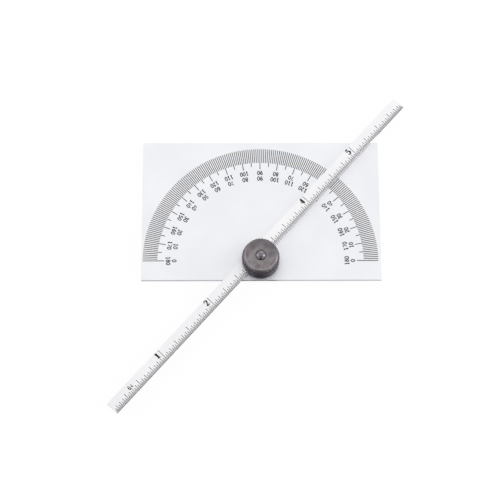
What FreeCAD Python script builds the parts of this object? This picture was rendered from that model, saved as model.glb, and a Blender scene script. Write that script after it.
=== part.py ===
"""Rectangular-head protractor with a sliding steel rule.

The head plate lies flat with its graduated face up (+Z). The origin is on the pivot axis, at the
back face of the clamp stud. X runs along the plate's long edge and Y up the plate. The rule's
graduated edge passes through the pivot axis, so the stud is notched to its middle to let it by.
"""
import FreeCAD
import Part
import Sketcher
import math
import os

# Driving dimensions in millimetres, degrees and counts. Each one is written once.
SIZES = {
    # Degree scale: etched lines that point at the pivot, longer at every 5 and 10 degrees.
    "scale_radius": 42.13,
    "degree_line_length": 5.26,
    "five_degree_line_length": 6.66,
    "ten_degree_line_length": 7.69,
    "degree_line_width": 0.28,
    "etch_depth": 0.05,
    # Head plate, 85.7 by 51.6, from its margins around the scale.
    "scale_to_left_edge": 0.47,
    "scale_to_right_edge": 0.97,
    "scale_to_upper_edge": 2.37,
    "pivot_to_lower_edge": 7.1,
    "plate_thickness": 1.59,
    # Rule, 6 inches by 3/16 inch by 3/64 inch.
    "inch": 25.4,
    "inch_count": 6,
    "rule_width": 4.7625,
    "rule_thickness": 1.19,
    "rule_angle": 47.66,
    "zero_end_to_pivot": 74.0,
    # Etched lines on the rule, shorter for each halving of the inch.
    "inch_line_length": 4.6,
    "half_line_length": 3.07,
    "quarter_line_length": 2.8,
    "eighth_line_length": 2.24,
    "sixteenth_line_length": 2.05,
    "inch_line_width": 0.2,
    # Swivel block: a turned body with a spigot in the plate and a window for the rule.
    "block_diameter": 13.3,
    "block_edge_chamfer": 0.2,
    "window_floor_thickness": 0.5,
    "roof_thickness": 1.72,
    "spigot_wall": 1.2,
    "spigot_setback": 0.1,
    # Clamp stud: flat head behind the plate, notched shank, threaded end.
    "stud_head_diameter": 11.0,
    "stud_head_thickness": 0.9,
    "stud_head_chamfer": 0.25,
    "shank_diameter": 5.5,
    "collar_thickness": 0.6,
    "thread_diameter": 3.5,
    "thread_pitch": 0.794,
    "dome_radius": 2.2,
    # Dished washer between the stud's head and the plate.
    "washer_diameter": 11.0,
    "washer_thickness": 0.25,
    "washer_dish": 0.25,
    # Knurled lock nut.
    "nut_diameter": 12.4,
    "nut_thickness": 2.95,
    "nut_face_chamfer": 0.6,
    "nut_seat_chamfer": 0.3,
    "nut_bore_chamfer": 0.25,
    "knurl_count": 34,
    "knurl_depth": 0.3,
    "knurl_lead_angle": 30,
    # Clearances: round fits are per side, and so is the rule in its window.
    "running_clearance": 0.05,
    "slide_clearance": 0.05,
    "shoulder_clearance": 0.2,
}

doc = FreeCAD.newDocument("protractor")
sheet = doc.addObject("Spreadsheet::Sheet", "dims")
for row, (alias, size) in enumerate(SIZES.items(), start=1):
    sheet.set(f"A{row}", str(size))
    sheet.setAlias(f"A{row}", alias)
doc.recompute()

# Heights above the stud's back face, from the back of the tool to the front.
PLATE_BACK = "(dims.stud_head_thickness + dims.washer_thickness + dims.washer_dish)"
PLATE_FRONT = f"({PLATE_BACK} + dims.plate_thickness)"
SPIGOT_END = f"({PLATE_BACK} + dims.spigot_setback)"
WINDOW_FLOOR = f"({PLATE_FRONT} + dims.window_floor_thickness)"
RULE_BACK = f"({WINDOW_FLOOR} + dims.slide_clearance)"
RULE_FRONT = f"({RULE_BACK} + dims.rule_thickness)"
WINDOW_ROOF = f"({RULE_FRONT} + dims.slide_clearance)"
LIP_TOP = WINDOW_FLOOR
NOTCH_TOP = f"({WINDOW_ROOF} + dims.thread_pitch)"
SHOULDER = f"({NOTCH_TOP} + dims.collar_thickness)"
BORE_STEP = f"({SHOULDER} + dims.shoulder_clearance)"
BLOCK_TOP = f"({BORE_STEP} + dims.roof_thickness)"
NUT_TOP = f"({BLOCK_TOP} + dims.nut_thickness)"
KNURL_MIDDLE = f"({BLOCK_TOP} + {NUT_TOP}) / 2"
DOME_CENTRE = f"{NUT_TOP} - sqrt(dims.dome_radius ^ 2 - (dims.thread_diameter / 2) ^ 2)"

# Radii of the turned pieces, each hole from the piece that goes through it.
SHANK_RADIUS = "(dims.shank_diameter / 2)"
SHANK_BORE = f"({SHANK_RADIUS} + dims.running_clearance)"
SPIGOT_RADIUS = f"({SHANK_BORE} + dims.spigot_wall)"
PLATE_BORE = f"({SPIGOT_RADIUS} + dims.running_clearance)"
BLOCK_RADIUS = "(dims.block_diameter / 2)"
THREAD_RADIUS = "(dims.thread_diameter / 2)"
THREAD_BORE = f"({THREAD_RADIUS} + dims.running_clearance)"
HEAD_RADIUS = "(dims.stud_head_diameter / 2)"
WASHER_RADIUS = "(dims.washer_diameter / 2)"
NUT_RADIUS = "(dims.nut_diameter / 2)"
KNURL_ROOT = f"({NUT_RADIUS} - dims.knurl_depth)"

# Edges of the plate, counted from the pivot axis.
LEFT_EDGE = "-(dims.scale_radius + dims.scale_to_left_edge)"
RIGHT_EDGE = "(dims.scale_radius + dims.scale_to_right_edge)"
UPPER_EDGE = "(dims.scale_radius + dims.scale_to_upper_edge)"
LOWER_EDGE = "-dims.pivot_to_lower_edge"

# Edges of the rule, counted from the pivot axis along its length and across it.
ZERO_END = "-dims.zero_end_to_pivot"
FAR_END = f"(dims.inch * dims.inch_count + {ZERO_END})"
RULE_SIDE = "dims.rule_width"
WINDOW_NEAR = "-dims.slide_clearance"
WINDOW_FAR = f"({RULE_SIDE} + dims.slide_clearance)"


def new_body(name):
    """A body whose label is the name of the piece."""
    body = doc.addObject("PartDesign::Body", name)
    body.Label = name
    return body


def origin_feature(body, role):
    """The plane or axis with this role in the body's own origin."""
    return next(item for item in body.Origin.OriginFeatures if item.Role == role)


def new_sketch(body, name, plane, height=None):
    """An empty sketch on one of the body's planes, lifted along its normal."""
    sketch = body.newObject("Sketcher::SketchObject", name)
    sketch.AttachmentSupport = [(origin_feature(body, plane), "")]
    sketch.MapMode = "FlatFace"
    if height:
        sketch.setExpression("AttachmentOffset.Base.z", height)
    return sketch


def outline(sketch, corners):
    """A closed outline of straight lines. Each corner is a pair of expressions from the origin."""
    first = sketch.GeometryCount
    count = len(corners)
    turn = 2 * math.pi / count
    start = [FreeCAD.Vector(math.cos(i * turn), math.sin(i * turn), 0) for i in range(count)]
    for i in range(count):
        sketch.addGeometry(Part.LineSegment(start[i], start[(i + 1) % count]))
    for i in range(count):
        follower = first + (i + 1) % count
        sketch.addConstraint(Sketcher.Constraint("Coincident", first + i, 2, follower, 1))
    for i, corner in enumerate(corners):
        for kind, place, expression in zip(("DistanceX", "DistanceY"), start[i], corner):
            hold = Sketcher.Constraint(kind, -1, 1, first + i, 1, place)
            index = sketch.addConstraint(hold)
            sketch.setExpression(f"Constraints[{index}]", expression)


def circle(sketch, radius):
    """A circle about the sketch's origin."""
    index = sketch.addGeometry(Part.Circle(FreeCAD.Vector(), FreeCAD.Vector(0, 0, 1), 1))
    sketch.addConstraint(Sketcher.Constraint("Coincident", index, 3, -1, 1))
    hold = sketch.addConstraint(Sketcher.Constraint("Radius", index, 1))
    sketch.setExpression(f"Constraints[{hold}]", radius)


def rectangle(left, low, right, high):
    """Corners of a box-shaped outline, for outline()."""
    return [(left, low), (right, low), (right, high), (left, high)]


def revolve(body, name, corners):
    """A turned piece from half its section, where across is the radius and up is the height."""
    sketch = new_sketch(body, f"{name}_section", "XZ_Plane")
    outline(sketch, corners)
    turned = body.newObject("PartDesign::Revolution", name)
    turned.Profile = sketch
    turned.ReferenceAxis = (sketch, ["V_Axis"])
    turned.Angle = 360
    sketch.Visibility = False
    return turned


def cut_through(body, name, sketch, length):
    """A pocket to both sides of its sketch."""
    pocket = body.newObject("PartDesign::Pocket", name)
    pocket.Profile = sketch
    pocket.Type = "Length"
    pocket.SideType = "Symmetric"
    pocket.setExpression("Length", length)
    sketch.Visibility = False
    return pocket


def etch(body, name, sketch):
    """A shallow pocket below the sketch."""
    pocket = body.newObject("PartDesign::Pocket", name)
    pocket.Profile = sketch
    pocket.setExpression("Length", "dims.etch_depth")
    pocket.Refine = False
    sketch.Visibility = False
    return pocket


def polar_pattern(body, name, originals, angle, occurrences):
    """Copies about the pivot axis, the first one included."""
    pattern = body.newObject("PartDesign::PolarPattern", name)
    pattern.Originals = originals
    pattern.Axis = (origin_feature(body, "Z_Axis"), [""])
    pattern.Angle = angle
    pattern.setExpression("Occurrences", occurrences)
    pattern.Refine = False
    body.Tip = pattern


def linear_pattern(body, name, original, step, occurrences):
    """Copies along the body's length, the first one included."""
    pattern = body.newObject("PartDesign::LinearPattern", name)
    pattern.Originals = [original]
    pattern.Direction = (origin_feature(body, "X_Axis"), [""])
    pattern.Mode = "Spacing"
    pattern.setExpression("Offset", step)
    pattern.setExpression("Occurrences", occurrences)
    pattern.Refine = False
    body.Tip = pattern


def spoke(sketch, length, angle):
    """The outline of one degree line. It ends at the scale's radius and points at the pivot."""
    inner = f"(dims.scale_radius - {length})"
    outer = "dims.scale_radius"
    half = "dims.degree_line_width / 2"
    corners = []
    for radius, side in ((inner, "-"), (outer, "-"), (outer, "+"), (inner, "+")):
        opposite = "+" if side == "-" else "-"
        corners.append((
            f"{radius} * cos({angle}) {opposite} {half} * sin({angle})",
            f"{radius} * sin({angle}) {side} {half} * cos({angle})",
        ))
    outline(sketch, corners)


def etch_degrees(body, name, length, angles, step, count):
    """Degree lines of one length. The first ones stand at these angles and repeat in steps."""
    sketch = new_sketch(body, f"{name}_outline", "XY_Plane", "dims.plate_thickness")
    for angle in angles:
        spoke(sketch, length, angle)
    lines = etch(body, name, sketch)
    polar_pattern(body, f"{name}_round", [lines], step * (count - 1), str(count))


def make_plate():
    """Flat rectangular head with the hole that the block's spigot turns in, and its scale."""
    body = new_body("protractor_plate")
    body.setExpression("Placement.Base.z", PLATE_BACK)
    blank = new_sketch(body, "plate_outline", "XY_Plane")
    outline(blank, rectangle(LEFT_EDGE, LOWER_EDGE, RIGHT_EDGE, UPPER_EDGE))
    circle(blank, PLATE_BORE)
    pad = body.newObject("PartDesign::Pad", "plate_blank")
    pad.Profile = blank
    pad.setExpression("Length", "dims.plate_thickness")
    blank.Visibility = False
    etch_degrees(body, "degree_lines", "dims.degree_line_length", (1, 2, 3, 4), 5, 36)
    etch_degrees(body, "five_degree_lines", "dims.five_degree_line_length", (5,), 10, 18)
    etch_degrees(body, "ten_degree_lines", "dims.ten_degree_line_length", (0,), 10, 19)
    return body


def make_block():
    """Turned swivel block: spigot, stepped bore for the stud, and a window for the rule."""
    body = new_body("swivel_block")
    body.setExpression("Placement.Rotation.Angle", "dims.rule_angle")
    chamfer = "dims.block_edge_chamfer"
    revolve(body, "block_turning", [
        (SHANK_BORE, SPIGOT_END),
        (SPIGOT_RADIUS, SPIGOT_END),
        (SPIGOT_RADIUS, PLATE_FRONT),
        (BLOCK_RADIUS, PLATE_FRONT),
        (BLOCK_RADIUS, f"{BLOCK_TOP} - {chamfer}"),
        (f"{BLOCK_RADIUS} - {chamfer}", BLOCK_TOP),
        (THREAD_BORE, BLOCK_TOP),
        (THREAD_BORE, BORE_STEP),
        (SHANK_BORE, BORE_STEP),
    ])
    window = new_sketch(body, "window_outline", "YZ_Plane")
    outline(window, rectangle(WINDOW_NEAR, WINDOW_FLOOR, WINDOW_FAR, WINDOW_ROOF))
    cut_through(body, "rule_window", window, "2 * dims.block_diameter")
    return body


def make_stud():
    """Clamp stud: the notch leaves half the shank beside the rule and a lip that hooks under it."""
    body = new_body("clamp_stud")
    body.setExpression("Placement.Rotation.Angle", "dims.rule_angle")
    chamfer = "dims.stud_head_chamfer"
    revolve(body, "stud_turning", [
        ("0", "0"),
        (f"{HEAD_RADIUS} - {chamfer}", "0"),
        (HEAD_RADIUS, chamfer),
        (HEAD_RADIUS, "dims.stud_head_thickness"),
        (SHANK_RADIUS, "dims.stud_head_thickness"),
        (SHANK_RADIUS, SHOULDER),
        (THREAD_RADIUS, SHOULDER),
        (THREAD_RADIUS, NUT_TOP),
        ("0", NUT_TOP),
    ])
    notch = new_sketch(body, "notch_outline", "YZ_Plane")
    outline(notch, rectangle(WINDOW_NEAR, LIP_TOP, "dims.shank_diameter", NOTCH_TOP))
    cut_through(body, "rule_notch", notch, "2 * dims.shank_diameter")
    dome = body.newObject("PartDesign::AdditiveSphere", "domed_end")
    dome.AttachmentSupport = [(origin_feature(body, "XY_Plane"), "")]
    dome.MapMode = "FlatFace"
    dome.setExpression("AttachmentOffset.Base.z", DOME_CENTRE)
    dome.setExpression("Radius", "dims.dome_radius")
    dome.setExpression("Angle1", f"acos({THREAD_RADIUS} / dims.dome_radius)")
    dome.Angle2 = 90
    return body


def make_washer():
    """Dished washer: its inner rim sits on the stud's head and its outer rim on the plate."""
    body = new_body("spring_washer")
    inner = f"({SHANK_RADIUS} + dims.running_clearance)"
    low = "dims.stud_head_thickness"
    thickness = "dims.washer_thickness"
    revolve(body, "washer_ring", [
        (inner, low),
        (WASHER_RADIUS, f"{low} + dims.washer_dish"),
        (WASHER_RADIUS, f"{low} + dims.washer_dish + {thickness}"),
        (inner, f"{low} + {thickness}"),
    ])
    return body


def make_nut():
    """Lock nut with a diamond knurl, cut by two sets of slanted grooves."""
    body = new_body("lock_nut")
    face = "dims.nut_face_chamfer"
    seat = "dims.nut_seat_chamfer"
    bore = "dims.nut_bore_chamfer"
    revolve(body, "nut_turning", [
        (THREAD_BORE, BLOCK_TOP),
        (f"{NUT_RADIUS} - {seat}", BLOCK_TOP),
        (NUT_RADIUS, f"{BLOCK_TOP} + {seat}"),
        (NUT_RADIUS, f"{NUT_TOP} - {face}"),
        (f"{NUT_RADIUS} - {face}", NUT_TOP),
        (f"{THREAD_BORE} + {bore}", NUT_TOP),
        (THREAD_BORE, f"{NUT_TOP} - {bore}"),
    ])
    grooves = []
    mouth = f"({NUT_RADIUS} + dims.knurl_depth)"
    for side, lean in (("left", "-"), ("right", "")):
        groove = new_sketch(body, f"{side}_groove_section", "XY_Plane", KNURL_MIDDLE)
        groove.AttachmentOffset = FreeCAD.Placement(
            FreeCAD.Vector(), FreeCAD.Rotation(FreeCAD.Vector(1, 0, 0), 1)
        )
        groove.setExpression("AttachmentOffset.Rotation.Angle", f"{lean}dims.knurl_lead_angle")
        outline(groove, [
            (KNURL_ROOT, "0"),
            (mouth, "2 * dims.knurl_depth"),
            (mouth, "-2 * dims.knurl_depth"),
        ])
        grooves.append(cut_through(body, f"{side}_groove", groove, "3 * dims.nut_thickness"))
    polar_pattern(body, "diamond_knurl", grooves, 360, "dims.knurl_count")
    return body


def etch_fractions(body, name, length, parts, count):
    """Lines of one length along the rule's edge, at the odd multiples of inch / parts."""
    sketch = new_sketch(body, f"{name}_outline", "XY_Plane", "dims.rule_thickness")
    place = f"({ZERO_END} + dims.inch / {parts})"
    half = "dims.inch_line_width / 2"
    outside = "-dims.inch_line_width"
    outline(sketch, rectangle(f"{place} - {half}", outside, f"{place} + {half}", length))
    step = "dims.inch" if parts == 1 else f"2 * dims.inch / {parts}"
    linear_pattern(body, f"{name}_row", etch(body, name, sketch), step, count)


def make_rule():
    """Flat steel rule. Its graduated edge is the line across = 0, through the pivot axis."""
    body = new_body("rule")
    body.setExpression("Placement.Rotation.Angle", "dims.rule_angle")
    body.setExpression("Placement.Base.z", RULE_BACK)
    blank = new_sketch(body, "rule_outline", "XY_Plane")
    outline(blank, rectangle(ZERO_END, "0", FAR_END, RULE_SIDE))
    pad = body.newObject("PartDesign::Pad", "rule_blank")
    pad.Profile = blank
    pad.setExpression("Length", "dims.rule_thickness")
    blank.Visibility = False
    etch_fractions(body, "inch_lines", "dims.inch_line_length", 1, "dims.inch_count - 1")
    for name, parts in (("half", 2), ("quarter", 4), ("eighth", 8), ("sixteenth", 16)):
        length = f"dims.{name}_line_length"
        etch_fractions(body, f"{name}_lines", length, parts, f"dims.inch_count * {parts} / 2")
    return body


pieces = [make_plate(), make_block(), make_stud(), make_washer(), make_nut(), make_rule()]
doc.recompute()

for item in doc.Objects:
    if "Invalid" in item.State or "Error" in item.State:
        raise RuntimeError(f"{item.Name} did not compute: {item.State}")
for piece in pieces:
    if piece.Shape.isNull() or not piece.Shape.isValid():
        raise RuntimeError(f"{piece.Label} has no valid shape")

os.makedirs("parts", exist_ok=True)
for piece in pieces:
    piece.Shape.exportStep(f"parts/{piece.Label}.step")
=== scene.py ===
"""Looks of the flat protractor: the steel finishes, the etched scales and the studio around them."""
import math

import bpy
from mathutils import Matrix, Vector


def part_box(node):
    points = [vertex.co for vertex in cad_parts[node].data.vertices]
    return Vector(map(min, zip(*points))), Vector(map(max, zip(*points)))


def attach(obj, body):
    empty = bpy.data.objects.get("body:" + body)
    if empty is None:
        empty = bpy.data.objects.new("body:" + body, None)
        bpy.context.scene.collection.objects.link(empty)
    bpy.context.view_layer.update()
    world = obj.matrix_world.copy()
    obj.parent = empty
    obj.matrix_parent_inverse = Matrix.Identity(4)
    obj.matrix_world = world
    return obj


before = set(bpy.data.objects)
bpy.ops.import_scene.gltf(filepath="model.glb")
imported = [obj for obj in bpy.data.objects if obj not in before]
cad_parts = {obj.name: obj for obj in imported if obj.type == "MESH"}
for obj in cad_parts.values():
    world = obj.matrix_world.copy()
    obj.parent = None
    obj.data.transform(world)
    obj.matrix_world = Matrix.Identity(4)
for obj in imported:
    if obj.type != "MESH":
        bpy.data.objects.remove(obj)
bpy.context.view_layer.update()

# Protractor plate. Flat rolled steel, ground, then plated in satin chrome: a pale face with a
# very fine, even grain. The sheared edges are darker: partly their ground finish, partly painted
# shade on the sides.
MM = 0.001
PLATE_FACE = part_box("protractor_plate")[1].z


def hex_colour(code):
    """An sRGB hex value as linear red, green, blue and alpha."""
    parts = [int(code[i:i + 2], 16) / 255 for i in (0, 2, 4)]
    linear = [c / 12.92 if c <= 0.04045 else ((c + 0.055) / 1.055) ** 2.4 for c in parts]
    return (*linear, 1.0)


def add_node(tree, kind, inputs=None, stops=(), **settings):
    """A node with its settings and links.

    Each input is a value, or another node's output. Each stop of a colour ramp is a position and
    a hex value.
    """
    node = tree.nodes.new("ShaderNode" + kind)
    for name, value in settings.items():
        setattr(node, name, value)
    for socket, value in (inputs or {}).items():
        if isinstance(value, bpy.types.NodeSocket):
            tree.links.new(value, node.inputs[socket])
        else:
            node.inputs[socket].default_value = value
    for i, (position, code) in enumerate(stops):
        elements = node.color_ramp.elements
        element = elements[i] if i < 2 else elements.new(position)
        element.position = position
        element.color = hex_colour(code)
    return node


def new_material(name):
    """An empty node material, its shader and its Object coordinates."""
    material = bpy.data.materials.new(name)
    material.use_nodes = True
    tree = material.node_tree
    shader = tree.nodes["Principled BSDF"]
    place = add_node(tree, "TexCoord").outputs["Object"]
    return material, tree, shader, place


def facing_up(tree):
    """How far the surface faces up: 1 on top, 0 on a side and -1 underneath."""
    normal = add_node(tree, "NewGeometry").outputs["Normal"]
    return add_node(tree, "SeparateXYZ", {"Vector": normal}).outputs["Z"]


def satin_chrome(name, face_stops, edge_code, grain_direction, roughness):
    """Satin chrome on ground steel. The grain is stretched along one direction of the face."""
    material, tree, shader, place = new_material(name)
    # Handling leaves faint smudges some 15 mm wide.
    smudge = add_node(tree, "TexNoise", {"Vector": place, "Scale": 1 / (15 * MM), "Detail": 3.0})
    face = add_node(tree, "ValToRGB", {"Fac": smudge.outputs["Fac"]}, face_stops)
    # Grinding lines are finer than the render shows, so they are drawn 0.12 mm apart.
    turned = add_node(tree, "Mapping", {
        "Vector": place,
        "Rotation": (0, 0, -grain_direction),
    })
    stretched = add_node(tree, "Mapping", {
        "Vector": turned.outputs["Vector"],
        "Scale": (0.04, 1.0, 1.0),
    })
    grain = add_node(tree, "TexNoise", {
        "Vector": stretched.outputs["Vector"],
        "Scale": 1 / (0.12 * MM),
        "Detail": 2.0,
    })
    # What points up or down is a face, and what points sideways is an edge.
    upright = add_node(tree, "Math", {0: facing_up(tree)}, operation="ABSOLUTE")
    is_face = add_node(tree, "MapRange", {
        "Value": upright.outputs["Value"],
        "From Min": 0.3,
        "From Max": 0.8,
    })
    colour = add_node(tree, "Mix", {
        "Factor": is_face.outputs["Result"],
        "A": hex_colour(edge_code),
        "B": face.outputs["Color"],
    }, data_type="RGBA")
    polish = add_node(tree, "MapRange", {
        "Value": grain.outputs["Fac"],
        "To Min": roughness - 0.05,
        "To Max": roughness + 0.05,
    })
    bump = add_node(tree, "Bump", {
        "Height": grain.outputs["Fac"],
        "Distance": 0.002 * MM,
        "Strength": 0.35,
    })
    tree.links.new(colour.outputs["Result"], shader.inputs["Base Color"])
    tree.links.new(polish.outputs["Result"], shader.inputs["Roughness"])
    tree.links.new(bump.outputs["Normal"], shader.inputs["Normal"])
    shader.inputs["Metallic"].default_value = 1.0
    return material


def paint(item, material):
    """Gives an object this one material."""
    item.data.materials.clear()
    item.data.materials.append(material)


# The darker edge colour is partly the ground finish and partly painted shade on the plate's sides.
plate_chrome = satin_chrome(
    "satin chrome plate", [(0.3, "E7E9ED"), (0.7, "EDEEF1")], "BDBBC6", 0.0, 0.44
)
paint(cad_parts["protractor_plate"], plate_chrome)


# Degree lines. Black enamel fills the grooves that are etched in the plate, almost to the brim.
# One bar of each length is drawn at its first angles and spun about the pivot in steps.
SCALE_RADIUS = 42.13 * MM
LINE_WIDTH = 0.28 * MM
ETCH_DEPTH = 0.05 * MM
ENAMEL_BELOW = 0.004 * MM
DEGREE_FAMILIES = (
    # inner radius, first angles, step, count
    (34.44 * MM, (0,), 10, 19),
    (35.47 * MM, (5,), 10, 18),
    (36.87 * MM, (1, 2, 3, 4), 5, 36),
)


def new_bar(low, high):
    """A closed bar between two corners, in its mesh."""
    bpy.ops.object.select_all(action="DESELECT")
    bpy.ops.mesh.primitive_cube_add(size=1)
    bar = bpy.context.object
    middle = (Vector(low) + Vector(high)) / 2
    reach = Vector(high) - Vector(low)
    bar.data.transform(Matrix.Translation(middle) @ Matrix.Diagonal((*reach, 1)))
    return bar


def join(name, parts):
    """Joins the objects into one piece of this name."""
    bpy.ops.object.select_all(action="DESELECT")
    for part in parts:
        part.select_set(True)
    bpy.context.view_layer.objects.active = parts[0]
    bpy.ops.object.join()
    piece = bpy.context.object
    piece.name = name
    piece.data.name = name
    return piece


def black_enamel(name, code):
    """Baked enamel: dark and half matt, with spots a shade lighter and rougher than the rest."""
    material, tree, shader, place = new_material(name)
    lighter = "".join(f"{min(255, int(code[i:i + 2], 16) + 14):02X}" for i in (0, 2, 4))
    mottle = add_node(tree, "TexNoise", {"Vector": place, "Scale": 1 / (0.6 * MM), "Detail": 2.0})
    colour = add_node(
        tree, "ValToRGB", {"Fac": mottle.outputs["Fac"]}, [(0.35, code), (0.75, lighter)]
    )
    polish = add_node(tree, "MapRange", {
        "Value": mottle.outputs["Fac"],
        "To Min": 0.5,
        "To Max": 0.7,
    })
    tree.links.new(colour.outputs["Color"], shader.inputs["Base Color"])
    tree.links.new(polish.outputs["Result"], shader.inputs["Roughness"])
    shader.inputs["Specular IOR Level"].default_value = 0.3
    return material


degree_bars = []
for inner, starts, step, count in DEGREE_FAMILIES:
    for start in starts:
        bar = new_bar(
            (inner, -LINE_WIDTH / 2, PLATE_FACE - ETCH_DEPTH),
            (SCALE_RADIUS, LINE_WIDTH / 2, PLATE_FACE - ENAMEL_BELOW),
        )
        bar.data.transform(Matrix.Rotation(math.radians(start), 4, "Z"))
        bpy.ops.object.mode_set(mode="EDIT")
        bpy.ops.mesh.select_all(action="SELECT")
        bpy.ops.mesh.spin(
            steps=count - 1, dupli=True, angle=math.radians(step * (count - 1)),
            center=(0, 0, 0), axis=(0, 0, -1),
        )
        bpy.ops.mesh.select_all(action="SELECT")
        bpy.ops.mesh.normals_make_consistent(inside=False)
        bpy.ops.object.mode_set(mode="OBJECT")
        degree_bars.append(bar)
degree_lines = join("degree_lines", degree_bars)
paint(degree_lines, black_enamel("enamel in the degree scale", "342623"))
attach(degree_lines, "head")


# Degree numbers. Plain single-stroke figures with their tops to the pivot, printed in enamel a
# little darker than the lines. The outer ring counts from the right and the inner from the left.
PRINT_HEIGHT = 0.012 * MM
ROUND, SHARP = "AUTO", "VECTOR"
FIGURE_WIDTH = 0.5
FIGURE_GAP = 0.26
BOLD_ONE = 1.5
# Each figure stands in a box half as wide as it is high. A stroke is closed or open, then points.
FIGURES = {
    "0": [(True, [(.25, 1), (.48, .72), (.48, .28), (.25, 0), (.02, .28), (.02, .72)], ROUND)],
    "1": [(False, [(.06, .76), (.27, 1), (.27, 0)], SHARP), (False, [(.1, 0), (.44, 0)], SHARP)],
    "2": [(False, [(.02, .75), (.25, 1), (.48, .74), (.34, .42), (.0, .0)], ROUND),
          (False, [(.0, .0), (.5, .0)], SHARP)],
    "3": [(False, [(.02, .84), (.25, 1), (.46, .77), (.2, .54)], ROUND),
          (False, [(.2, .54), (.48, .28), (.25, 0), (.0, .18)], ROUND)],
    "4": [(False, [(.36, 0), (.36, 1), (0, .3), (.5, .3)], SHARP)],
    "5": [(False, [(.45, 1), (.08, 1), (.04, .56)], SHARP),
          (False, [(.04, .56), (.27, .63), (.48, .32), (.25, 0), (.0, .15)], ROUND)],
    "6": [(False, [(.44, .88), (.27, 1), (.04, .62), (.03, .28), (.25, 0), (.48, .3), (.27, .58),
                   (.04, .36)], ROUND)],
    "7": [(False, [(0, 1), (.5, 1), (.17, 0)], SHARP)],
    "8": [(True, [(.25, 1), (.44, .77), (.25, .55), (.06, .77)], ROUND),
          (True, [(.25, .53), (.48, .27), (.25, 0), (.02, .27)], ROUND)],
}
# A nine is a six turned half round.
FIGURES["9"] = [
    (closed, [(FIGURE_WIDTH - x, 1 - y) for x, y in points], kind)
    for closed, points, kind in FIGURES["6"]
]


def new_stroke_curve(name, thickness):
    """A curve whose strokes are round tubes of this thickness."""
    curve = bpy.data.curves.new(name, "CURVE")
    curve.dimensions = "3D"
    curve.bevel_depth = thickness / 2
    curve.bevel_resolution = 1
    curve.resolution_u = 5
    curve.use_fill_caps = True
    return curve


def add_stroke(curve, closed, points, kind, place, weights):
    """One stroke of a figure. place is the matrix from the figure's box to the object."""
    spline = curve.splines.new("BEZIER")
    spline.bezier_points.add(len(points) - 1)
    for knot, (x, y), weight in zip(spline.bezier_points, points, weights):
        knot.co = place @ Vector((x, y, 0))
        knot.handle_left_type = knot.handle_right_type = kind
        knot.radius = weight
    spline.use_cyclic_u = closed


def write_number(curve, text, height, place):
    """A number centred on its place, standing up along its Y. Its ones are a little bolder."""
    width = len(text) * FIGURE_WIDTH + (len(text) - 1) * FIGURE_GAP
    for i, figure in enumerate(text):
        shift = Vector((i * (FIGURE_WIDTH + FIGURE_GAP) - width / 2, 0, 0))
        box = place @ Matrix.Scale(height, 4) @ Matrix.Translation(shift)
        weight = BOLD_ONE if figure == "1" else 1.0
        for closed, points, kind in FIGURES[figure]:
            add_stroke(curve, closed, points, kind, box, [weight] * len(points))


def flatten_strokes(curve, level, height):
    """Turns the tubes into a mesh and presses them flat, to this height above the level."""
    piece = bpy.data.objects.new(curve.name, curve)
    bpy.context.scene.collection.objects.link(piece)
    bpy.ops.object.select_all(action="DESELECT")
    piece.select_set(True)
    bpy.context.view_layer.objects.active = piece
    bpy.ops.object.convert(target="MESH")
    piece = bpy.context.object
    piece.name = curve.name
    bpy.ops.object.mode_set(mode="EDIT")
    bpy.ops.mesh.select_all(action="SELECT")
    # The end caps come loose, so they are merged to their tubes while these are still round.
    bpy.ops.mesh.remove_doubles(threshold=0.0001 * MM)
    bpy.ops.mesh.normals_make_consistent(inside=False)
    bpy.ops.transform.resize(
        value=(1, 1, height / curve.bevel_depth), center_override=(0, 0, level)
    )
    bpy.ops.object.mode_set(mode="OBJECT")
    return piece


NUMBER_RINGS = (
    # name, radius of the figures' feet and tops, stroke, number at the right, change per degree
    ("outer_degree_numbers", 33.85 * MM, 32.15 * MM, 0.31 * MM, 0, 1),
    ("inner_degree_numbers", 31.7 * MM, 29.97 * MM, 0.31 * MM, 180, -1),
)
figure_enamel = black_enamel("enamel in the degree numbers", "141111")
for name, foot, top, stroke, first, change in NUMBER_RINGS:
    ring = new_stroke_curve(name, stroke)
    for angle in range(0, 181, 10):
        place = (
            Matrix.Rotation(math.radians(angle), 4, "Z")
            @ Matrix.Translation((foot - stroke / 2, 0, PLATE_FACE))
            @ Matrix.Rotation(math.radians(90), 4, "Z")
        )
        write_number(ring, str(first + change * angle), foot - top - stroke, place)
    numbers = flatten_strokes(ring, PLATE_FACE, PRINT_HEIGHT)
    paint(numbers, figure_enamel)
    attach(numbers, "head")


# Steel rule. Narrow spring-tempered stock with the same satin chrome, a little warmer and
# whiter than the plate, with its grain along the length. Its edges are as pale as its face.
RULE_ANGLE = math.radians(47.66)
ZERO_END = -74.0 * MM
INCH = 25.4 * MM
RULE_INCHES = 6
RULE_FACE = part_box("rule")[1].z
rule_chrome = satin_chrome(
    "satin chrome rule", [(0.3, "EDECEE"), (0.7, "F3F2F4")], "F4F1F4", RULE_ANGLE, 0.4
)
paint(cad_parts["rule"], rule_chrome)


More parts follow.
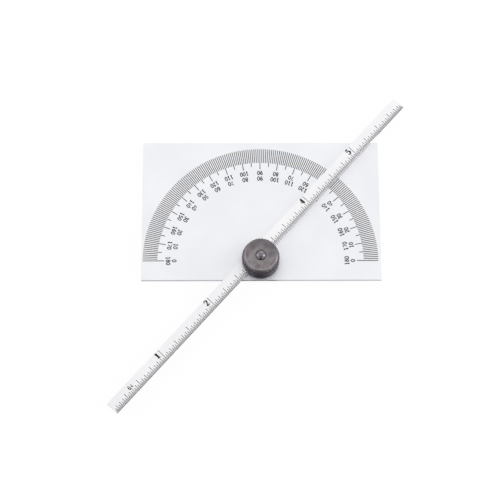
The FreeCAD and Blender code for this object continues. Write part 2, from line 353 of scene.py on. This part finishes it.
# Inch lines. Every 1/64 inch along the edge that passes through the pivot. Those down to 1/16
# fill etched grooves, and the finer ones are printed. One of each length is drawn and repeated.
RULE_LINE_WIDTH = 0.2 * MM
RULE_EDGE_MARGIN = 0.01 * MM
ETCHED_LINE = (-ETCH_DEPTH, -ENAMEL_BELOW)
PRINTED_LINE = (0.0, PRINT_HEIGHT)
RULE_FAMILIES = (
    # parts to the inch, length of the line, its bottom and top from the rule's face
    (1, 4.6 * MM, ETCHED_LINE),
    (2, 3.07 * MM, ETCHED_LINE),
    (4, 2.8 * MM, ETCHED_LINE),
    (8, 2.24 * MM, ETCHED_LINE),
    (16, 2.05 * MM, ETCHED_LINE),
    (32, 1.55 * MM, PRINTED_LINE),
    (64, 0.87 * MM, PRINTED_LINE),
)
rule_bars = []
for parts, length, (bottom, top) in RULE_FAMILIES:
    # Past the whole inches, every second line is already drawn as a longer one.
    spacing = INCH if parts == 1 else 2 * INCH / parts
    count = RULE_INCHES - 1 if parts == 1 else RULE_INCHES * parts // 2
    first = ZERO_END + INCH / parts
    bar = new_bar(
        (first - RULE_LINE_WIDTH / 2, RULE_EDGE_MARGIN, RULE_FACE + bottom),
        (first + RULE_LINE_WIDTH / 2, length, RULE_FACE + top),
    )
    repeat = bar.modifiers.new("along the rule", "ARRAY")
    repeat.use_relative_offset = False
    repeat.use_constant_offset = True
    repeat.constant_offset_displace = (spacing, 0, 0)
    repeat.count = count
    bpy.ops.object.modifier_apply(modifier=repeat.name)
    rule_bars.append(bar)
rule_lines = join("rule_lines", rule_bars)
rule_lines.data.transform(Matrix.Rotation(RULE_ANGLE, 4, "Z"))
paint(rule_lines, black_enamel("enamel in the rule's lines", "241F1F"))
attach(rule_lines, "rule")


# Inch numbers. Bold black figures with feet, printed in enamel, each just before its line.
# A thin stroke stands a little lower than a thick one.
INCH_NUMBER_HEIGHT = 2.3 * MM
INCH_NUMBER_FOOT = 2.35 * MM
INCH_NUMBER_LEAD = 2.2 * MM
# A stroke of half thickness 1 would stand this high. The thickest, of 0.16, stands 0.03 mm.
UNIT_STROKE_HEIGHT = 16 * PRINT_HEIGHT
BOLDER = 1.15
# Each stroke is a list of points across, up and half thickness in a box 1 high.
BOLD_FIGURES = {
    "1": [([(.3, .08, .13), (.3, .92, .13)], SHARP), ([(.08, .76, .05), (.28, .94, .07)], SHARP),
          ([(.06, .035, .05), (.54, .035, .05)], SHARP)],
    "2": [([(.1, .72, .1), (.14, .9, .06), (.3, .96, .05), (.5, .72, .12), (.36, .42, .08),
            (.07, .1, .05)], ROUND), ([(.05, .08, .08), (.52, .08, .08)], SHARP),
          ([(.53, .06, .04), (.57, .3, .03)], SHARP)],
    "3": [([(.1, .78, .09), (.28, .96, .05), (.48, .75, .11), (.24, .53, .04)], ROUND),
          ([(.24, .53, .04), (.52, .27, .12), (.28, .04, .05), (.07, .2, .09)], ROUND)],
    "4": [([(.4, .06, .12), (.4, .94, .12)], SHARP), ([(.36, .92, .06), (.04, .32, .05)], SHARP),
          ([(.03, .3, .06), (.58, .3, .06)], SHARP), ([(.22, .035, .05), (.58, .035, .05)], SHARP)],
    "5": [([(.12, .9, .1), (.5, .9, .1)], SHARP), ([(.11, .92, .05), (.1, .5, .05)], SHARP),
          ([(.1, .52, .05), (.3, .6, .07), (.52, .32, .14), (.28, .04, .07), (.07, .18, .11)],
           ROUND)],
}
# The tubes are made for a half thickness of 1, and the weight of each point scales them.
bold = new_stroke_curve("inch_numbers", 2 * INCH_NUMBER_HEIGHT)
bold.bevel_resolution = 2
for inch in range(1, RULE_INCHES):
    corner = (ZERO_END + inch * INCH - INCH_NUMBER_LEAD, INCH_NUMBER_FOOT, RULE_FACE)
    place = (
        Matrix.Rotation(RULE_ANGLE, 4, "Z")
        @ Matrix.Translation(corner)
        @ Matrix.Scale(INCH_NUMBER_HEIGHT, 4)
    )
    for points, kind in BOLD_FIGURES[str(inch)]:
        ends = [(x, y) for x, y, half in points]
        add_stroke(bold, False, ends, kind, place, [BOLDER * half for x, y, half in points])
inch_numbers = flatten_strokes(bold, RULE_FACE, UNIT_STROKE_HEIGHT)
number_enamel = black_enamel("enamel in the inch numbers", "080606")
paint(inch_numbers, number_enamel)
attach(inch_numbers, "rule")


# Parts number. A small, light 64 near the rule's end, printed in the same enamel. It tells how
# many parts the finest lines make of an inch.
PARTS_NUMBER_STROKE = 0.27 * MM
PARTS_NUMBER_HEIGHT = 1.35 * MM
PARTS_NUMBER_FOOT = 2.2 * MM
PARTS_NUMBER_FROM_END = 9.6 * MM
fine = new_stroke_curve("parts_number", PARTS_NUMBER_STROKE)
fine_place = Matrix.Rotation(RULE_ANGLE, 4, "Z") @ Matrix.Translation(
    (ZERO_END + PARTS_NUMBER_FROM_END, PARTS_NUMBER_FOOT, RULE_FACE)
)
write_number(fine, "64", PARTS_NUMBER_HEIGHT, fine_place)
parts_number = flatten_strokes(fine, RULE_FACE, PRINT_HEIGHT)
paint(parts_number, number_enamel)
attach(parts_number, "rule")


# Swivel block. Turned from steel bar and finished in black oxide, which is dark and dull and
# leaves the turning marks faint. Its spigot turns in the plate's hole.
RING_SPACING = 0.25 * MM
# A wave texture of scale 1 repeats at this distance.
WAVE_REPEAT = 0.314


def oxide_blotches(tree, place, seed=0.0):
    """The soft blotches, some 2 mm wide, that black oxide dries with."""
    noise = add_node(tree, "TexNoise", {
        "Vector": place,
        "W": seed,
        "Scale": 1 / (2.2 * MM),
        "Detail": 3.0,
    }, noise_dimensions="4D")
    return noise.outputs["Fac"]


def turned_surface(tree, shader, place, blotches, colour, roughness):
    """Turned metal of this colour: fine grit and ring marks, and less polish between blotches."""
    grit = add_node(tree, "TexNoise", {"Vector": place, "Scale": 1 / (0.15 * MM), "Detail": 2.0})
    # Turning marks are rings about the pivot, drawn far enough apart to show.
    rings = add_node(tree, "TexWave", {
        "Vector": place,
        "Scale": WAVE_REPEAT / RING_SPACING,
        "Distortion": 1.0,
        "Detail": 1.0,
        "Detail Scale": 2.0,
    }, wave_type="RINGS", rings_direction="Z")
    marks = add_node(tree, "Mix", {
        "Factor": 0.35,
        "A": grit.outputs["Fac"],
        "B": rings.outputs["Fac"],
    }, data_type="FLOAT")
    bump = add_node(tree, "Bump", {
        "Height": marks.outputs["Result"],
        "Distance": 0.004 * MM,
        "Strength": 0.5,
    })
    polish = add_node(tree, "MapRange", {
        "Value": blotches,
        "To Min": roughness + 0.07,
        "To Max": roughness - 0.07,
    })
    tree.links.new(colour, shader.inputs["Base Color"])
    tree.links.new(polish.outputs["Result"], shader.inputs["Roughness"])
    tree.links.new(bump.outputs["Normal"], shader.inputs["Normal"])
    shader.inputs["Metallic"].default_value = 1.0


def turned_steel(name, stops, roughness, low_angle_tint="FFFFFF"):
    """A turned piece of one finish. The colour varies with the blotches."""
    material, tree, shader, place = new_material(name)
    blotches = oxide_blotches(tree, place)
    colour = add_node(tree, "ValToRGB", {"Fac": blotches}, stops).outputs["Color"]
    turned_surface(tree, shader, place, blotches, colour, roughness)
    shader.inputs["Specular Tint"].default_value = hex_colour(low_angle_tint)
    return material


# The oxide dulls what bare steel would mirror at a low angle.
block_oxide = turned_steel(
    "black oxide block", [(0.3, "5E5A5F"), (0.7, "6E686F")], 0.4, low_angle_tint="D2CCD4"
)
paint(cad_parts["swivel_block"], block_oxide)


# Lock nut. The same oxide, worn through by thumbs: the face and its chamfers are warm grey with
# brown stains, and painted shade darkens the far side. Painted highlights brighten its two rims
# and the knurl's tips, which are also worn bare, and painted shade darkens its side.
NUT_LOW, NUT_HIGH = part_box("lock_nut")
NUT_RADIUS = (NUT_HIGH.x - NUT_LOW.x) / 2
# The flat of the face lies between these two radii, with a chamfer on either side of it.
FACE_RIM = NUT_RADIUS - 0.6 * MM
BORE_RIM = 2.05 * MM
nut_oxide_and_painted_light, tree, shader, place = new_material("worn black oxide nut with painted light")
blotches = oxide_blotches(tree, place, seed=2.0)
across = add_node(tree, "VectorMath", {0: place, 1: (1, 1, 0)}, operation="MULTIPLY")
radius = add_node(tree, "VectorMath", {0: across.outputs["Vector"]}, operation="LENGTH")

# The face. Its stains are some 4.5 mm wide, and its far side is painted darker, as shade.
worn_face = add_node(
    tree, "ValToRGB", {"Fac": blotches}, [(0.35, "726C6F"), (0.5, "858082"), (0.65, "979294")]
)
stains = add_node(tree, "TexNoise", {
    "Vector": place,
    "W": 5.0,
    "Scale": 1 / (4.5 * MM),
    "Detail": 2.0,
}, noise_dimensions="4D")
stained = add_node(tree, "MapRange", {
    "Value": stains.outputs["Fac"],
    "From Min": 0.5,
    "From Max": 0.75,
    "To Max": 0.5,
})
face = add_node(tree, "Mix", {
    "Factor": stained.outputs["Result"],
    "A": worn_face.outputs["Color"],
    "B": hex_colour("7B5F5C"),
}, data_type="RGBA")
toward_back = add_node(tree, "VectorMath", {0: place, 1: (0.35, 0.94, 0)}, operation="DOT_PRODUCT")
back_shade = add_node(tree, "MapRange", {
    "Value": toward_back.outputs["Value"],
    "From Min": -0.5 * NUT_RADIUS,
    "From Max": 0.8 * NUT_RADIUS,
    "To Max": 0.55,
})
face = add_node(tree, "Mix", {
    "Factor": back_shade.outputs["Result"],
    "A": face.outputs["Result"],
    "B": hex_colour("5A575B"),
}, data_type="RGBA")

# Painted highlights: two bright rings where the face meets its chamfer and the bore. The outer one
# fades toward the back.
near_rim = add_node(tree, "MapRange", {
    "Value": radius.outputs["Value"],
    "From Min": FACE_RIM - 0.35 * MM,
    "From Max": FACE_RIM + 0.2 * MM,
})
rim_highlight_mask = add_node(
    tree, "ValToRGB", {"Fac": near_rim.outputs["Result"]},
    [(0.0, "000000"), (0.55, "FFFFFF"), (0.75, "FFFFFF"), (1.0, "000000")],
)
rim_highlight_colour = add_node(
    tree, "ValToRGB", {"Fac": back_shade.outputs["Result"]}, [(0.1, "9C979C"), (0.5, "6E6A6E")]
)
face = add_node(tree, "Mix", {
    "Factor": rim_highlight_mask.outputs["Color"],
    "A": face.outputs["Result"],
    "B": rim_highlight_colour.outputs["Color"],
}, data_type="RGBA")
near_bore = add_node(tree, "MapRange", {
    "Value": radius.outputs["Value"],
    "From Min": BORE_RIM - 0.17 * MM,
    "From Max": BORE_RIM + 0.05 * MM,
})
bore_highlight_mask = add_node(
    tree, "ValToRGB", {"Fac": near_bore.outputs["Result"]},
    [(0.0, "000000"), (0.4, "FFFFFF"), (0.7, "FFFFFF"), (1.0, "000000")],
)
face = add_node(tree, "Mix", {
    "Factor": bore_highlight_mask.outputs["Color"],
    "A": face.outputs["Result"],
    "B": hex_colour("D8D4D8"),
}, data_type="RGBA")

# The side is painted dark, as shade on the knurl. Its tips are bright: partly bare steel worn
# through, partly a painted highlight.
side_oxide_and_shade = add_node(tree, "ValToRGB", {"Fac": blotches}, [(0.3, "38343B"), (0.7, "484349")])
tip_wear_and_highlight = add_node(tree, "MapRange", {
    "Value": radius.outputs["Value"],
    "From Min": NUT_RADIUS - 0.15 * MM,
    "From Max": NUT_RADIUS - 0.02 * MM,
})
side = add_node(tree, "Mix", {
    "Factor": tip_wear_and_highlight.outputs["Result"],
    "A": side_oxide_and_shade.outputs["Color"],
    "B": hex_colour("9A959C"),
}, data_type="RGBA")
is_face = add_node(tree, "MapRange", {
    "Value": facing_up(tree),
    "From Min": 0.55,
    "From Max": 0.68,
})
colour = add_node(tree, "Mix", {
    "Factor": is_face.outputs["Result"],
    "A": side.outputs["Result"],
    "B": face.outputs["Result"],
}, data_type="RGBA")
turned_surface(tree, shader, place, blotches, colour.outputs["Result"], 0.42)
paint(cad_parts["lock_nut"], nut_oxide_and_painted_light)


# Clamp stud. Turned steel in the same oxide, with its domed end polished brighter than the nut
# around it. Its head lies behind the plate and its notch hooks under the rule.
stud_oxide = turned_steel("polished oxide stud", [(0.3, "6E6A70"), (0.7, "88848A")], 0.28)
paint(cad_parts["clamp_stud"], stud_oxide)


# Spring washer. A dished ring of bare spring steel, paler than the pieces in black oxide. It
# sits between the stud's head and the plate, which hide it.
washer_steel = turned_steel("bare spring steel", [(0.3, "8C8C90"), (0.7, "A0A0A4")], 0.3)
paint(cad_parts["spring_washer"], washer_steel)


# Studio. A floor of matt white paper in an even white room, with a weak soft box at the left, the
# right and the back. The floor lies just under where the stud's head reaches when it is slack.
FLOOR_LEVEL = -0.9 * MM


def seen_directly(tree):
    """1 for a ray from the camera, a mirror or glass, and 0 for one that lights the object."""
    paths = add_node(tree, "LightPath")
    seen = add_node(tree, "Math", {
        0: paths.outputs["Is Camera Ray"],
        1: paths.outputs["Is Glossy Ray"],
    }, operation="MAXIMUM")
    seen = add_node(tree, "Math", {
        0: seen.outputs["Value"],
        1: paths.outputs["Is Transmission Ray"],
    }, operation="MAXIMUM")
    return seen.outputs["Value"]


bpy.ops.object.select_all(action="DESELECT")
bpy.ops.mesh.primitive_plane_add(size=6, location=(0, 0, 0))
floor = bpy.context.object
floor.name = "floor"
floor.data.transform(Matrix.Translation((0, 0, FLOOR_LEVEL)))
floor_material, tree, shader, place = new_material("white paper floor")
tone = add_node(tree, "TexNoise", {"Vector": place, "Scale": 4.0, "Detail": 1.0})
paper = add_node(
    tree, "ValToRGB", {"Fac": tone.outputs["Fac"]}, [(0.3, "FCFCFC"), (0.7, "FFFFFF")]
)
tree.links.new(paper.outputs["Color"], shader.inputs["Base Color"])
shader.inputs["Roughness"].default_value = 1.0
shader.inputs["Specular IOR Level"].default_value = 0.0
# A tenth of the paper stays lit by the lamps, so the floor keeps the tool's faint shadow.
share = add_node(tree, "Math", {0: seen_directly(tree), 1: 0.9}, operation="MULTIPLY")
white = add_node(tree, "Emission", {"Color": (1, 1, 1, 1), "Strength": 1.03})
blend = add_node(tree, "MixShader", {
    0: share.outputs["Value"],
    1: shader.outputs["BSDF"],
    2: white.outputs["Emission"],
})
tree.links.new(blend.outputs["Shader"], tree.nodes["Material Output"].inputs["Surface"])
paint(floor, floor_material)

world = bpy.data.worlds.new("studio")
world.use_nodes = True
bpy.context.scene.world = world
tree = world.node_tree
# The room lights the tool at about half of the white that is seen.
strength = add_node(tree, "MapRange", {
    "Value": seen_directly(tree),
    "To Min": 0.55,
    "To Max": 1.0,
})
tree.links.new(strength.outputs["Result"], tree.nodes["Background"].inputs["Strength"])
tree.nodes["Background"].inputs["Color"].default_value = (1, 1, 1, 1)


def soft_box(name, place, width, height, watts):
    """A rectangular lamp that faces the pivot."""
    data = bpy.data.lights.new(name, "AREA")
    data.shape = "RECTANGLE"
    data.size = width
    data.size_y = height
    data.energy = watts
    lamp = bpy.data.objects.new(name, data)
    bpy.context.scene.collection.objects.link(lamp)
    lamp.location = place
    lamp.rotation_euler = (Vector() - Vector(place)).to_track_quat("-Z", "Y").to_euler()
    lamp.visible_camera = False


soft_box("left soft box", (-0.8, 0.1, 0.5), 0.4, 0.6, 1.5)
soft_box("right soft box", (0.8, 0.0, 0.45), 0.4, 0.6, 2.5)
soft_box("back soft box", (0.0, 0.9, 0.5), 0.8, 0.3, 1.0)


# Dark cards of grey felt, which show only in reflections. One stands in front of the tool and one
# hangs by the camera. One lies before the knob and one under each end of the rule: these three
# are painted shade, dark where the tool's shadow falls on the floor.
CARD_LEVEL = FLOOR_LEVEL + 0.1 * MM
card_material, tree, shader, place = new_material("dark card, also painted floor shade")
pile = add_node(tree, "TexNoise", {"Vector": place, "Scale": 300.0, "Detail": 2.0})
felt = add_node(
    tree, "ValToRGB", {"Fac": pile.outputs["Fac"]}, [(0.3, "4C4A50"), (0.7, "58565C")]
)
tree.links.new(felt.outputs["Color"], shader.inputs["Base Color"])
shader.inputs["Roughness"].default_value = 1.0
shader.inputs["Specular IOR Level"].default_value = 0.0


def dark_card(name, width, depth, turn, place):
    """A flat card, tipped up by some degrees, that only reflections see."""
    bpy.ops.object.select_all(action="DESELECT")
    bpy.ops.mesh.primitive_plane_add(size=1, location=(0, 0, 0))
    card = bpy.context.object
    card.name = name
    card.data.transform(
        Matrix.Translation(place)
        @ Matrix.Rotation(math.radians(turn), 4, "X")
        @ Matrix.Diagonal((width, depth, 1, 1))
    )
    card.visible_camera = False
    card.visible_diffuse = False
    card.visible_shadow = False
    paint(card, card_material)


dark_card("standing card", 0.4, 0.34, 90, (0, -0.5, 0.17))
dark_card("card at the camera", 0.3, 0.25, 33.7, (0, -0.28, 0.42))
# Painted shade: these three cards darken the floor where reflections see the tool's shadow.
dark_card("shade card before the knob", 0.016, 0.09, 0, (-0.002, -0.0532, CARD_LEVEL))
dark_card("shade card under the zero end", 0.21, 0.289, 0, (-0.113, -0.1555, CARD_LEVEL))
dark_card("shade card under the far end", 0.03, 0.04, 0, (0.06, 0.062, CARD_LEVEL))


# Camera. A long lens almost half a metre above the plate and a little in front of it, tipped 15
# degrees. Its place and lens were fitted to the ends of the degree lines.
camera_data = bpy.data.cameras.new("camera")
camera_data.lens = 96.93
camera_data.sensor_width = 36
camera_data.clip_start = 0.01
camera = bpy.data.objects.new("camera", camera_data)
bpy.context.scene.collection.objects.link(camera)
camera.location = (-7.988 * MM, -122.878 * MM, 467.898 * MM)
camera.rotation_euler = [math.radians(turn) for turn in (15.262, -0.4546, -0.2452)]
bpy.context.scene.camera = camera
bpy.context.scene.view_settings.view_transform = "Standard"
